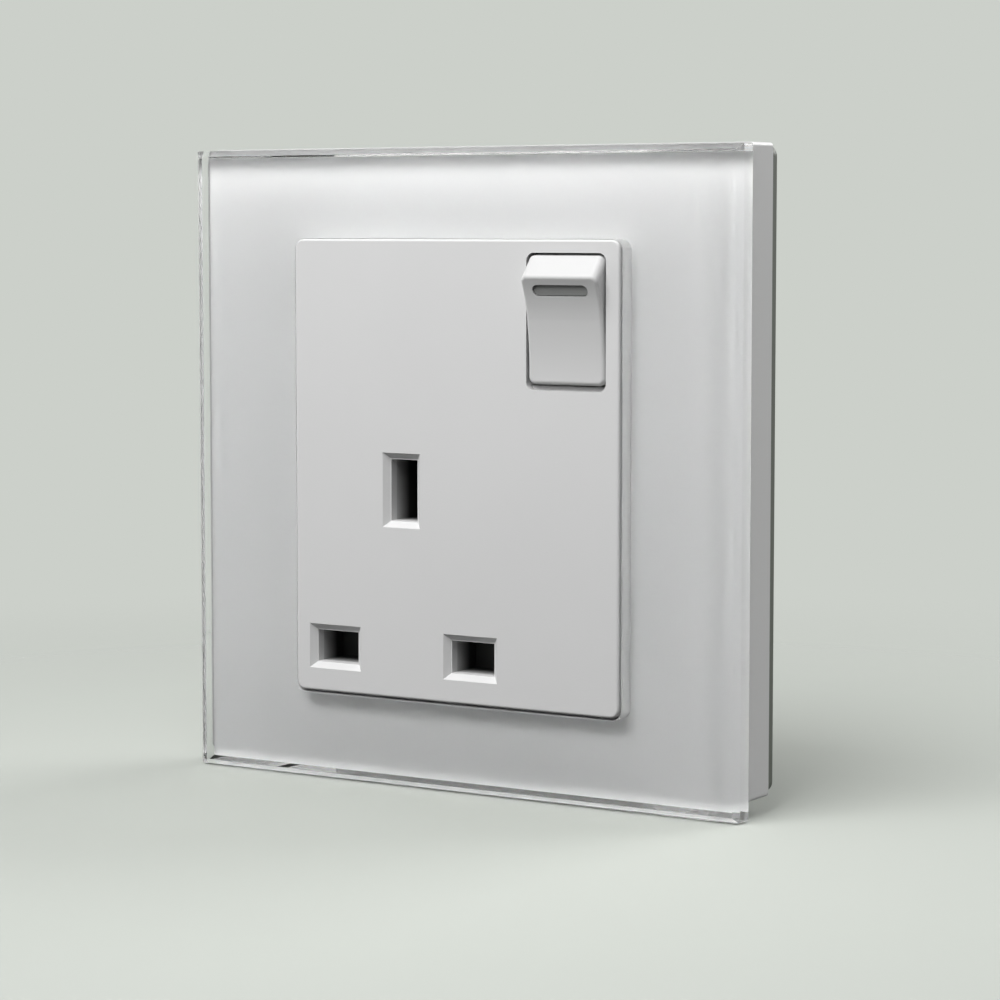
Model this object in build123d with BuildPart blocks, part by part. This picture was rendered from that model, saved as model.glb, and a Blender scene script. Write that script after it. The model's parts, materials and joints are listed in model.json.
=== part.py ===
from build123d import *
import math
import os

os.makedirs("parts", exist_ok=True)

# Switched wall socket with a glass front. Sizes in millimetres.
# X runs to the right seen from the front, Z runs up, the front faces -Y.
# The origin is the middle of the plate on the wall plane. The switch is shown on.

# Front plate
plate_size = 87.0
glass_thickness = 4.0
glass_bevel = 0.75
glass_rear_bevel = 0.95
glass_corner_r = 0.3
window_arris = 0.1
film_thickness = 0.3
film_inset = 0.02

# Insert
insert_w = 51.9
insert_h = 62.6
insert_corner_r = 1.3
insert_edge_r = 0.35
insert_proud = 0.25
insert_gap = 0.22
window_drop = 0.15
cover_wall = 1.6
cover_front = 2.2
cover_inner_r = 0.5

# Carrier frame: it shows as a fine line above the glass, which hangs over it at the sides
# and forms a lip to lift it by at the bottom
frame_depth = 5.7
frame_side_overhang = 0.65
frame_top_rise = 0.25
lift_lip = 2.1
frame_wall = 1.8
frame_front = 1.6
frame_corner_r = 0.5
frame_edge_r = 0.2
collar_wall = 1.3
collar_depth = 1.3

# Clips between the frame and the mounting plate
clip_z = 22.0
clip_length = 12.0
ridge_height = 0.6
ridge_width = 0.8
ridge_from_rear = 0.9
catch_wall = 1.6
catch_lip = 0.45
catch_lip_depth = 0.9
clip_gap = 0.15

# Mounting plate and its fixing screws
mount_thickness = 1.5
mount_inset = 0.3
mount_corner_r = 1.4
mount_ledge = 2.3
mount_window_r = 2.0
rebate_depth = 0.6
rebate_gap = 0.5
fixing_from_insert = 4.2
fixing_hole_r = 2.0
fixing_slot = 7.0
screw_r = 1.75
screw_neck_r = 1.55
screw_length = 17.0
screw_point = 1.0
screw_head_r = 3.4
screw_head_h = 2.1
screw_head_edge = 0.6
drive_w = 0.9
drive_l = 4.0
drive_depth = 1.2

# Pin apertures: the upper one is for the earth pin
pin_pitch = 22.23
pin_side = 11.115
neutral_from_left = 6.535
poles_from_bottom = 6.27
earth_w = 4.3
earth_h = 8.4
pole_w = 6.8
pole_h = 4.4
lead_in = 0.8
lead_in_ledge = 0.1
lead_in_angle = 45.0
tunnel_depth = 6.65
tunnel_wall = 1.2

# Switch aperture and rocker
switch_from_right = 8.15
switch_from_top = 10.8
switch_w = 12.2
switch_h = 18.1
switch_corner_r = 1.1
switch_draft = 8.5
switch_relief = 0.55
sill_root = 0.15
sill_rise = 0.6
sill_depth = 0.9
sill_rear = 2.0
rocker_gap = 0.25
rocker_tilt = 9.0
pivot_depth = 3.4
pivot_r = 1.2
pivot_gap = 0.05
pivot_length = 1.3
lug_wall = 1.4
lug_gap = 0.4
lug_half = 2.6
rocker_face = 3.79
dish_top = 0.88
dish_bottom = 0.84
dish_low = 0.9
top_edge_in = 2.35
bottom_edge_in = 1.35
bottom_draft = 0.1
top_reach = 0.05
bevel_depth = 2.0
shoulder_depth = 0.5
skirt = 1.0
skirt_in = 0.9
rocker_corner_r = 1.0
rocker_edge_r = 0.5
rocker_wall = 1.2
face_wall = 1.15

# Indicator
lens_l = 8.2
lens_h = 1.3
lens_v = 4.85
lens_gap = 0.12
lens_recess = 0.72
lens_flange = 0.3
lens_flange_t = 0.6
lamp_r = 1.2
lamp_l = 6.4
lamp_gap = 0.15
lead_r = 0.2
lead_l = 0.7
lamp_round = 0.35
resistor_r = 0.8
resistor_l = 5.0
resistor_v = -4.9

# Double-pole switch
pole_offset = 3.0
tube_r = 2.0
tube_end = 9.5
tube_floor = 2.0
plunger_r = 1.2
plunger_gap = 0.05
plunger_tail = 6.2
plunger_clear = 0.1
plunger_round = 0.95
spring_wire_r = 0.17
spring_turns = 5
contact_tilt = 10.0
contact_pivot_y = 6.9
contact_w = 3.8
contact_front = 1.7
contact_rear = 0.3
contact_up = 7.0
contact_down = 6.6
rod_r = 0.6
rod_gap = 0.05
tip_r = 1.2
tip_v = 5.6
tip_h = 0.7
tip_edge = 0.4
tip_air = 0.24

# Rear housing
base_step_w = 0.75
base_step_h = 1.0
base_corner_r = 2.0
base_wall = 1.4
base_rear = 19.0
base_floor = 2.0
base_edge_r = 0.8
barrier = 0.6
support_w = 2.0
support_gap = 0.05

# Terminals
terminal_w = 6.2
terminal_front = 9.0
terminal_h = 6.0
terminal_pitch = 10.3
terminal_side_gap = 0.2
terminal_end_gap = 0.3
wire_r = 2.2
wire_y = 12.4
wire_depth = 4.6
wire_hole_r = 2.55
tab_t = 1.2
tab_edge = 1.3
clamp_r = 1.75
clamp_gap = 0.05
clamp_from_end = 2.4
clamp_from = 0.2
clamp_end = 0.3
clamp_slot_w = 0.7
clamp_slot_depth = 0.8
clamp_hole_r = 2.6

# Brass straps and pin clips
strap_t = 0.8
strap_w = 3.8
strap_y = 10.0
earth_strap_y = 12.0
clip_leaf = 0.8
clip_opening = 4.2
clip_front = 1.2
pole_clip_w = 6.4
earth_clip_h = 8.0
neutral_run_rise = 13.53
upstand_t = 1.2
tongue = 1.1
tongue_gap = 0.05

# Shutter
shutter_gap = 0.2
shutter_t = 2.0
shutter_travel = 5.6
blade_cover = 0.8
blade_end = 0.6
stem_w = 9.2
shutter_window_w = 4.9
ramp_w = 4.5
stem_top = 8.8
peg_r = 1.1
peg_l = 3.0
shutter_spring_r = 1.85
shutter_wire_r = 0.25
shutter_spring_l = 11.0
shutter_turns = 8
spring_seat = 1.4
rail_t = 0.8
rail_lip = 1.0
rail_gap = 0.25
rail_web = 1.2
rail_top = 13.4

# Screws that join the cover, the mounting plate and the base
joiner_inset_x = 4.7
joiner_inset_z = 4.8
joiner_below_earth = 1.2
joiner_above_poles = 6.73
joiner_r = 1.4
joiner_gap = 0.05
joiner_head_r = 2.5
joiner_head_h = 1.7
joiner_seat_y = 9.0
joiner_reach = 7.5
joiner_edge = 0.4
boss_r = 2.3
well_r = 2.8
well_wall = 0.7
well_floor = 1.5

# Depths along Y, from the wall to the front
mount_y = -mount_thickness
frame_y = mount_y - frame_depth
film_y = frame_y - film_thickness
glass_y = film_y - glass_thickness
face_y = glass_y - insert_proud
cover_inner_y = face_y + cover_front
tunnel_y = face_y + tunnel_depth
pivot_y = face_y + pivot_depth
rim_y = -rebate_depth
floor_y = base_rear - base_floor

# Places in the front view
window_w = insert_w + 2 * insert_gap
window_h = insert_h + 2 * insert_gap
window_r = insert_corner_r + insert_gap
frame_w = plate_size - 2 * frame_side_overhang
frame_h = plate_size + frame_top_rise - lift_lip
frame_z = (lift_lip + frame_top_rise) / 2
fixing_centres = insert_w + 2 * fixing_from_insert
base_w = insert_w - 2 * base_step_w
base_h = insert_h - 2 * base_step_h
neutral_x = -insert_w / 2 + neutral_from_left
earth_x = neutral_x + pin_side
live_x = earth_x + pin_side
poles_z = -insert_h / 2 + poles_from_bottom
earth_z = poles_z + pin_pitch
switch_x = insert_w / 2 - switch_from_right
switch_z = insert_h / 2 - switch_from_top
live_pole_x = switch_x + pole_offset
neutral_pole_x = switch_x - pole_offset
live_terminal_x = base_w / 2 - base_wall - terminal_side_gap - terminal_w / 2
neutral_terminal_x = live_terminal_x - terminal_pitch
terminal_high_z = base_h / 2 - base_wall - terminal_end_gap
terminal_low_z = terminal_high_z - terminal_h
wire_low_z = terminal_high_z - wire_depth
clamp_z = terminal_high_z - clamp_from_end
neutral_run_z = poles_z + neutral_run_rise
joiner_left_x = -base_w / 2 + joiner_inset_x
joiner_top_z = base_h / 2 - joiner_inset_z
joiner_spots = [
    (joiner_left_x, joiner_top_z),
    ((earth_x + neutral_terminal_x) / 2, joiner_top_z),
    (joiner_left_x, earth_z - joiner_below_earth),
    ((live_x + live_pole_x) / 2, poles_z + joiner_above_poles),
]
catch_x = frame_w / 2 - frame_wall
ridge_y = mount_y - ridge_from_rear
wire_rear_y = wire_y + wire_r
rocker_w = switch_w - 2 * rocker_gap
tilt = math.radians(rocker_tilt)
lean = math.radians(contact_tilt)


def front_plane(y):
    """Sketch plane at depth y that faces the front, with X to the right and Z up."""
    return Plane.XZ.offset(-y)


def block(x, z, w, h, rear, front, mode=Mode.ADD):
    """Box of width w and height h about (x, z), between two depths."""
    with Locations((x, (rear + front) / 2, z)):
        Box(w, rear - front, h, mode=mode)


def post(x, z, r, rear, front, mode=Mode.ADD):
    """Round post along Y about (x, z), between two depths."""
    with Locations((x, (rear + front) / 2, z)):
        Cylinder(r, rear - front, rotation=(90, 0, 0), mode=mode)


def rod(x, y, z, r, length, mode=Mode.ADD):
    """Round rod along X about its middle."""
    with Locations((x, y, z)):
        Cylinder(r, length, rotation=(0, 90, 0), mode=mode)


def cross_slot(x, z, length, w, rear, front):
    """Cross for a driver, cut between two depths."""
    block(x, z, length, w, rear, front, Mode.SUBTRACT)
    block(x, z, w, length, rear, front, Mode.SUBTRACT)


# Glass front
with BuildPart() as glass_panel:
    with BuildSketch(front_plane(film_y)):
        Rectangle(plate_size, plate_size)
    extrude(amount=glass_thickness)
    chamfer(glass_panel.faces().sort_by(Axis.Y)[0].edges(), glass_bevel)
    chamfer(glass_panel.faces().sort_by(Axis.Y)[-1].edges(), glass_rear_bevel)
    with BuildSketch(front_plane(film_y)):
        RectangleRounded(plate_size, plate_size, glass_corner_r)
    extrude(amount=glass_thickness, mode=Mode.INTERSECT)
    with BuildSketch(front_plane(film_y)):
        with Locations((0, -window_drop)):
            RectangleRounded(window_w, window_h, window_r)
    extrude(amount=glass_thickness, mode=Mode.SUBTRACT)
    chamfer(glass_panel.faces().sort_by(Axis.Y)[0].inner_wires()[0].edges(), window_arris)
glass_panel.part.label = "glass_panel"
export_step(glass_panel.part, "parts/glass_panel.step")

# White film on the back of the glass, inside its rear bevel
film_size = plate_size - 2 * (glass_rear_bevel + film_inset)
with BuildPart() as backing_film:
    with BuildSketch(front_plane(frame_y)):
        RectangleRounded(film_size, film_size, glass_corner_r)
        with Locations((0, -window_drop)):
            RectangleRounded(window_w, window_h, window_r, mode=Mode.SUBTRACT)
    extrude(amount=film_thickness)
backing_film.part.label = "backing_film"
export_step(backing_film.part, "parts/backing_film.step")

# Tray that carries the glass
with BuildPart() as carrier_frame:
    with BuildSketch(front_plane(mount_y)):
        with Locations((0, frame_z)):
            RectangleRounded(frame_w, frame_h, frame_corner_r)
    extrude(amount=frame_depth)
    fillet(carrier_frame.faces().sort_by(Axis.Y)[-1].edges(), frame_edge_r)
    with BuildSketch(front_plane(mount_y)):
        with Locations((0, frame_z)):
            Rectangle(frame_w - 2 * frame_wall, frame_h - 2 * frame_wall)
    extrude(amount=frame_depth - frame_front, mode=Mode.SUBTRACT)
    with BuildSketch(front_plane(frame_y + frame_front + collar_depth)):
        with Locations((0, -window_drop)):
            RectangleRounded(window_w + 2 * collar_wall, window_h + 2 * collar_wall, window_r)
    extrude(amount=collar_depth)
    with BuildSketch(front_plane(mount_y)):
        with Locations((0, -window_drop)):
            RectangleRounded(window_w, window_h, window_r)
    extrude(amount=frame_depth, mode=Mode.SUBTRACT)
    for side in (-1, 1):
        for up in (-1, 1):
            block(
                side * (catch_x - ridge_height / 2),
                up * clip_z,
                ridge_height,
                clip_length,
                ridge_y,
                ridge_y - ridge_width,
            )
carrier_frame.part.label = "carrier_frame"
export_step(carrier_frame.part, "parts/carrier_frame.step")

# Plate that is screwed to the wall box
catch_out = catch_x - ridge_height - clip_gap
catch_lip_y = ridge_y - ridge_width - clip_gap
with BuildPart() as mounting_plate:
    with BuildSketch(front_plane(0)):
        with Locations((0, frame_z)):
            RectangleRounded(frame_w - 2 * mount_inset, frame_h - 2 * mount_inset, mount_corner_r)
        RectangleRounded(
            insert_w - 2 * mount_ledge, insert_h - 2 * mount_ledge, mount_window_r, mode=Mode.SUBTRACT
        )
        with Locations((-fixing_centres / 2, 0)):
            SlotOverall(fixing_slot, 2 * fixing_hole_r, mode=Mode.SUBTRACT)
        with Locations((fixing_centres / 2, 0)):
            Circle(fixing_hole_r, mode=Mode.SUBTRACT)
    extrude(amount=mount_thickness)
    with BuildSketch(front_plane(0)):
        RectangleRounded(base_w + 2 * rebate_gap, base_h + 2 * rebate_gap, base_corner_r)
    extrude(amount=rebate_depth, mode=Mode.SUBTRACT)
    for side in (-1, 1):
        for up in (-1, 1):
            block(
                side * (catch_out - catch_wall / 2),
                up * clip_z,
                catch_wall,
                clip_length,
                mount_y,
                catch_lip_y - catch_lip_depth,
            )
            block(
                side * (catch_out - catch_wall / 2 + catch_lip / 2),
                up * clip_z,
                catch_wall + catch_lip,
                clip_length,
                catch_lip_y,
                catch_lip_y - catch_lip_depth,
            )
mounting_plate.part.label = "mounting_plate"
export_step(mounting_plate.part, "parts/mounting_plate.step")

# Two screws into the wall box
head_y = mount_y - screw_head_h
with BuildPart() as fixing_screws:
    for side in (-1, 1):
        spot = side * fixing_centres / 2
        with BuildSketch(Plane.XY):
            with BuildLine():
                Polyline(
                    (spot, head_y),
                    (spot + screw_head_r - screw_head_edge, head_y),
                    (spot + screw_head_r, head_y + screw_head_edge),
                    (spot + screw_head_r, mount_y),
                    (spot + screw_neck_r, mount_y),
                    (spot + screw_neck_r, 0),
                    (spot + screw_r, 0),
                    (spot + screw_r, screw_length - screw_point),
                    (spot + screw_r - screw_point, screw_length),
                    (spot, screw_length),
                    close=True,
                )
            make_face()
        revolve(axis=Axis((spot, 0, 0), (0, 1, 0)))
        cross_slot(spot, 0, drive_l, drive_w, head_y + drive_depth, head_y)
fixing_screws.part.label = "fixing_screws"
export_step(fixing_screws.part, "parts/fixing_screws.step")

# Insert with the pin apertures and the rocker's bearings
pins = [
    (earth_x, earth_z, earth_w, earth_h),
    (live_x, poles_z, pole_w, pole_h),
    (neutral_x, poles_z, pole_w, pole_h),
]
shutter_front = tunnel_y + shutter_gap
shutter_rear = shutter_front + shutter_t
rail_y = shutter_rear + shutter_gap
blade_left = neutral_x - pole_w / 2 - blade_end
blade_right = live_x + pole_w / 2 + blade_end
blade_low = poles_z - pole_h / 2 - blade_cover
blade_high = poles_z + pole_h / 2 + blade_cover
rail_h = rail_top + blade_low + insert_h / 2
cover_left = -insert_w / 2 + cover_wall
cover_bottom = -insert_h / 2 + cover_wall
chamber_w = rocker_w + 2 * lug_gap + 2 * rocker_gap
seat_z = earth_z + stem_top + shutter_spring_l
with BuildPart() as socket_cover:
    with BuildSketch(front_plane(mount_y)):
        RectangleRounded(insert_w, insert_h, insert_corner_r)
    extrude(amount=mount_y - face_y)
    fillet(socket_cover.faces().sort_by(Axis.Y)[0].edges(), insert_edge_r)
    with BuildSketch(front_plane(mount_y)):
        RectangleRounded(insert_w - 2 * cover_wall, insert_h - 2 * cover_wall, cover_inner_r)
    extrude(amount=mount_y - cover_inner_y, mode=Mode.SUBTRACT)
    block(
        switch_x,
        switch_z,
        chamber_w,
        switch_h + 2 * switch_relief,
        mount_y,
        cover_inner_y,
        Mode.SUBTRACT,
    )
    for x, z, w, h in pins:
        block(x, z, w + 2 * tunnel_wall, h + 2 * tunnel_wall, tunnel_y, cover_inner_y)
    for x, z in joiner_spots:
        post(x, z, boss_r, rim_y, cover_inner_y)
    for side in (-1, 1):
        block(
            switch_x + side * (chamber_w / 2 + lug_wall / 2),
            switch_z,
            lug_wall,
            2 * lug_half,
            pivot_y + lug_half,
            cover_inner_y,
        )
    block(
        (cover_left + blade_left + rail_lip) / 2,
        cover_bottom + rail_h / 2,
        blade_left + rail_lip - cover_left,
        rail_h,
        rail_y + rail_t,
        rail_y,
    )
    block(
        blade_right + rail_gap + rail_web / 2,
        cover_bottom + rail_h / 2,
        rail_web,
        rail_h,
        rail_y + rail_t,
        cover_inner_y,
    )
    block(
        blade_right + (rail_gap + rail_web - rail_lip) / 2,
        cover_bottom + rail_h / 2,
        rail_gap + rail_web + rail_lip,
        rail_h,
        rail_y + rail_t,
        rail_y,
    )
    for x in (live_x, neutral_x):
        block(
            x,
            (cover_bottom + blade_low - shutter_gap / 2) / 2,
            strap_w,
            blade_low - shutter_gap / 2 - cover_bottom,
            shutter_rear,
            cover_inner_y,
        )
    block(earth_x, seat_z + spring_seat / 2, stem_w, spring_seat, rail_y, cover_inner_y)
    for x, z, w, h in pins:
        block(x, z, w, h, tunnel_y, face_y, Mode.SUBTRACT)
        with BuildSketch(front_plane(face_y + lead_in)):
            with Locations((x, z)):
                Rectangle(w + 2 * lead_in_ledge, h + 2 * lead_in_ledge)
        extrude(amount=lead_in, taper=-lead_in_angle, mode=Mode.SUBTRACT)
    switch_spread = cover_front * math.tan(math.radians(switch_draft))
    with BuildSketch(front_plane(cover_inner_y)):
        with Locations((switch_x, switch_z)):
            RectangleRounded(
                switch_w + 2 * switch_spread,
                switch_h + 2 * switch_spread,
                switch_corner_r + switch_spread,
            )
    extrude(amount=cover_front, taper=switch_draft, mode=Mode.SUBTRACT)
    sill_foot = -switch_h / 2 - sill_root
    with BuildSketch(Plane(origin=(switch_x, face_y, switch_z), x_dir=(0, 1, 0), z_dir=(1, 0, 0))):
        with BuildLine():
            Polyline(
                (0, sill_foot),
                (sill_depth, -switch_h / 2 + sill_rise),
                (sill_rear, -switch_h / 2 + sill_rise),
                (sill_rear, sill_foot - switch_relief),
                (sill_depth, sill_foot - switch_relief),
                close=True,
            )
        make_face()
    extrude(amount=switch_w / 2 + switch_spread + sill_root, both=True)
    bearing_l = rocker_w + 2 * pivot_length + 2 * pivot_gap
    rod(switch_x, pivot_y, switch_z, pivot_r + pivot_gap, bearing_l, Mode.SUBTRACT)
    for x, z in joiner_spots:
        post(x, z, joiner_r + joiner_gap, rim_y, -joiner_reach - joiner_gap, Mode.SUBTRACT)
socket_cover.part.label = "socket_cover"
export_step(socket_cover.part, "parts/socket_cover.step")

# Rocker, drawn in its own tilted frame: u runs into the switch, v runs up the face
pivot = (switch_x, pivot_y, switch_z)
u_dir = (0, math.cos(tilt), math.sin(tilt))
rocker_side = Plane(origin=pivot, x_dir=u_dir, z_dir=(1, 0, 0))
rocker_front = Plane(origin=pivot, x_dir=(1, 0, 0), z_dir=(0, -u_dir[1], -u_dir[2]))
rocker_top = switch_h / 2 + top_reach
top_edge = (-rocker_face - dish_top, switch_h / 2 - top_edge_in)
bottom_edge = (-rocker_face - dish_bottom, -switch_h / 2 + bottom_edge_in)
dish_floor = (-rocker_face, dish_low)
bottom_rear = (skirt, bottom_edge[1] - bottom_draft)
top_rear = (skirt, rocker_top - skirt_in)
shoulder = (-shoulder_depth, rocker_top)
bevel_edge = (-bevel_depth, rocker_top)
rounded = [(bottom_edge, bottom_rear), (top_rear, shoulder), (shoulder, bevel_edge), (bevel_edge, top_edge)]
hollow_u = -rocker_face + face_wall
with BuildPart() as rocker:
    with BuildSketch(rocker_side):
        with BuildLine():
            TangentArc(dish_floor, top_edge, tangent=(0, 1))
            TangentArc(dish_floor, bottom_edge, tangent=(0, -1))
            Polyline(bottom_edge, bottom_rear, top_rear, shoulder, bevel_edge, top_edge)
        make_face()
    extrude(amount=rocker_w / 2, both=True)
    corners = ShapeList()
    for start, end in rounded:
        middle = rocker_side.from_local_coords(((start[0] + end[0]) / 2, (start[1] + end[1]) / 2, 0))
        corners += rocker.faces().sort_by_distance(middle)[0].edges().filter_by(Axis.X, reverse=True)
    fillet(corners, rocker_corner_r)
    dish = rocker.faces().filter_by(GeomType.CYLINDER).sort_by(SortBy.AREA)[-2:]
    floor_mid = rocker_side.from_local_coords((*dish_floor, 0))
    fillet([edge for edge in dish.edges() if edge.distance_to(floor_mid) > rocker_wall], rocker_edge_r)
    with BuildSketch(rocker_side):
        with BuildLine():
            Polyline(
                (hollow_u, bottom_edge[1] + rocker_wall),
                (skirt, bottom_edge[1] + rocker_wall),
                (skirt, rocker_top - skirt_in - rocker_wall),
                (-shoulder_depth, rocker_top - rocker_wall),
                (hollow_u + bevel_depth / 2, rocker_top - rocker_wall),
                (hollow_u, top_edge[1]),
                close=True,
            )
        make_face()
    extrude(amount=rocker_w / 2 - rocker_wall, both=True, mode=Mode.SUBTRACT)
    with BuildSketch(rocker_side):
        Circle(pivot_r)
    extrude(amount=rocker_w / 2 + pivot_length, both=True)
    with BuildSketch(rocker_front.offset(-tube_end)):
        with Locations((-pole_offset, 0), (pole_offset, 0)):
            Circle(tube_r)
    extrude(amount=tube_end - hollow_u)
    with BuildSketch(rocker_front.offset(-tube_end)):
        with Locations((-pole_offset, 0), (pole_offset, 0)):
            Circle(plunger_r + plunger_gap)
    extrude(amount=tube_end - tube_floor, mode=Mode.SUBTRACT)
    with BuildSketch(rocker_front.offset(-hollow_u)):
        with Locations((0, lens_v)):
            SlotOverall(lens_l + 2 * lens_gap, lens_h + 2 * lens_gap)
    extrude(amount=rocker_face, mode=Mode.SUBTRACT)
rocker.part.label = "rocker"
export_step(rocker.part, "parts/rocker.step")

# Lens let into the rocker
lens_back = hollow_u + lens_gap / 2
with BuildPart() as indicator_lens:
    with BuildSketch(rocker_front.offset(-lens_back)):
        with Locations((0, lens_v)):
            SlotOverall(lens_l, lens_h)
    extrude(amount=rocker_face + dish_top + lens_back - lens_recess)
    with BuildSketch(rocker_front.offset(-lens_back - lens_flange_t)):
        with Locations((0, lens_v)):
            SlotOverall(lens_l + 2 * lens_flange, lens_h + 2 * lens_flange)
    extrude(amount=lens_flange_t)
indicator_lens.part.label = "indicator_lens"
export_step(indicator_lens.part, "parts/indicator_lens.step")

# Neon lamp behind the lens, and its resistor
lamp_u = lens_back + lens_flange_t + lamp_gap + lamp_r
with BuildPart() as neon_lamp:
    with BuildSketch(rocker_side):
        with Locations((lamp_u, lens_v)):
            Circle(lamp_r)
    extrude(amount=lamp_l / 2, both=True)
    fillet(neon_lamp.edges(), lamp_r * lamp_round)
    with BuildSketch(rocker_side):
        with Locations((lamp_u, lens_v)):
            Circle(lead_r)
    extrude(amount=lamp_l / 2 + lead_l, both=True)
neon_lamp.part.label = "neon_lamp"
export_step(neon_lamp.part, "parts/neon_lamp.step")

with BuildPart() as lamp_resistor:
    with BuildSketch(rocker_side):
        with Locations((hollow_u + lamp_gap + resistor_r, resistor_v)):
            Circle(resistor_r)
    extrude(amount=resistor_l / 2, both=True)
    fillet(lamp_resistor.edges(), resistor_r * lamp_round)
    with BuildSketch(rocker_side):
        with Locations((hollow_u + lamp_gap + resistor_r, resistor_v)):
            Circle(lead_r)
    extrude(amount=resistor_l / 2 + lead_l, both=True)
lamp_resistor.part.label = "lamp_resistor"
export_step(lamp_resistor.part, "parts/lamp_resistor.step")

# Sprung plungers in the rocker's tubes: the round end stands clear of a bar at mid travel
plunger_tip = contact_pivot_y - contact_front - plunger_clear - pivot_y
spring_l = plunger_tail - tube_floor
spring_r = plunger_r - spring_wire_r - plunger_gap


def plunger_at(offset):
    """Round-ended pin along the rocker's depth, offset along X from its middle."""
    with BuildSketch(rocker_front.offset(-plunger_tip)) as outline:
        with Locations((offset, 0)):
            Circle(plunger_r)
    extrude(outline.sketch, amount=plunger_tip - plunger_tail)


def plunger_spring_at(offset):
    """Compression spring between a tube's floor and its plunger."""
    start = rocker_side.from_local_coords((tube_floor + spring_wire_r, 0, offset))
    coil = Helix(
        (spring_l - 2 * spring_wire_r) / spring_turns,
        spring_l - 2 * spring_wire_r,
        spring_r,
        center=start,
        direction=u_dir,
    )
    with BuildSketch(Plane(origin=coil @ 0, z_dir=coil % 0)) as wire:
        Circle(spring_wire_r)
    sweep(wire.sketch, path=coil, is_frenet=True)


with BuildPart() as live_plunger:
    plunger_at(pole_offset)
    fillet(live_plunger.edges().sort_by(Axis.Y)[-1], plunger_r * plunger_round)
live_plunger.part.label = "live_plunger"
export_step(live_plunger.part, "parts/live_plunger.step")

with BuildPart() as neutral_plunger:
    plunger_at(-pole_offset)
    fillet(neutral_plunger.edges().sort_by(Axis.Y)[-1], plunger_r * plunger_round)
neutral_plunger.part.label = "neutral_plunger"
export_step(neutral_plunger.part, "parts/neutral_plunger.step")

with BuildPart() as live_plunger_spring:
    plunger_spring_at(pole_offset)
live_plunger_spring.part.label = "live_plunger_spring"
export_step(live_plunger_spring.part, "parts/live_plunger_spring.step")

with BuildPart() as neutral_plunger_spring:
    plunger_spring_at(-pole_offset)
neutral_plunger_spring.part.label = "neutral_plunger_spring"
export_step(neutral_plunger_spring.part, "parts/neutral_plunger_spring.step")

# See-saw bars, drawn in their own leaning frames: u runs to the rear, v runs up the bar
bar_u = (0, math.cos(lean), -math.sin(lean))
bar_front_dir = (0, -math.cos(lean), math.sin(lean))
tip_rear_u = tip_h - contact_rear
live_bar = Plane(origin=(live_pole_x, contact_pivot_y, switch_z), x_dir=bar_u, z_dir=(1, 0, 0))
neutral_bar = Plane(origin=(neutral_pole_x, contact_pivot_y, switch_z), x_dir=bar_u, z_dir=(1, 0, 0))


def contact_bar(side):
    """Bar with a round groove that rocks on its strap's edge."""
    with BuildSketch(side) as outline:
        with Locations((-(contact_front + contact_rear) / 2, (contact_up - contact_down) / 2)):
            Rectangle(contact_front - contact_rear, contact_up + contact_down)
        Circle(rod_r + rod_gap, mode=Mode.SUBTRACT)
    extrude(outline.sketch, amount=contact_w / 2, both=True)


def moving_tip(side):
    """Contact rivet on the rear of a bar, near its upper end."""
    spot = side.from_local_coords((tip_rear_u, tip_v, 0))
    with BuildSketch(Plane(origin=spot, x_dir=(1, 0, 0), z_dir=bar_front_dir)) as outline:
        Circle(tip_r)
    extrude(outline.sketch, amount=tip_h)


with BuildPart() as live_moving_contact:
    contact_bar(live_bar)
live_moving_contact.part.label = "live_moving_contact"
export_step(live_moving_contact.part, "parts/live_moving_contact.step")

with BuildPart() as neutral_moving_contact:
    contact_bar(neutral_bar)
neutral_moving_contact.part.label = "neutral_moving_contact"
export_step(neutral_moving_contact.part, "parts/neutral_moving_contact.step")

with BuildPart() as live_moving_tip:
    moving_tip(live_bar)
live_moving_tip.part.label = "live_moving_tip"
export_step(live_moving_tip.part, "parts/live_moving_tip.step")

with BuildPart() as neutral_moving_tip:
    moving_tip(neutral_bar)
neutral_moving_tip.part.label = "neutral_moving_tip"
export_step(neutral_moving_tip.part, "parts/neutral_moving_tip.step")

# Fixed contact rivets: their crowns stop just short of the moving ones
fixed_z = switch_z + tip_v * math.cos(lean) - tip_rear_u * math.sin(lean)
fixed_y = contact_pivot_y + tip_v * math.sin(lean) + tip_rear_u * math.cos(lean) + tip_air
with BuildPart() as fixed_contact_tips:
    for x in (live_pole_x, neutral_pole_x):
        post(x, fixed_z, tip_r, terminal_front, fixed_y)
    fillet(fixed_contact_tips.edges().group_by(Axis.Y)[0], tip_edge)
fixed_contact_tips.part.label = "fixed_contact_tips"
export_step(fixed_contact_tips.part, "parts/fixed_contact_tips.step")


def terminal_block(x):
    """Brass block with a conductor bore from above and a tapped hole from the rear."""
    block(
        x,
        (terminal_low_z + terminal_high_z) / 2,
        terminal_w,
        terminal_high_z - terminal_low_z,
        floor_y,
        terminal_front,
    )
    with Locations((x, wire_y, (wire_low_z + terminal_high_z) / 2)):
        Cylinder(wire_r, terminal_high_z - wire_low_z, mode=Mode.SUBTRACT)
    post(x, clamp_z, clamp_r + clamp_gap, floor_y, wire_y, Mode.SUBTRACT)


# Terminals
with BuildPart() as live_terminal:
    terminal_block(live_terminal_x)
live_terminal.part.label = "live_terminal"
export_step(live_terminal.part, "parts/live_terminal.step")

tab_right = neutral_pole_x + tab_edge
tab_left = neutral_terminal_x - terminal_w / 2
with BuildPart() as neutral_terminal:
    block(
        (tab_left + tab_right) / 2,
        (terminal_low_z + terminal_high_z) / 2,
        tab_right - tab_left,
        terminal_high_z - terminal_low_z,
        terminal_front + tab_t,
        terminal_front,
    )
    terminal_block(neutral_terminal_x)
neutral_terminal.part.label = "neutral_terminal"
export_step(neutral_terminal.part, "parts/neutral_terminal.step")

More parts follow.
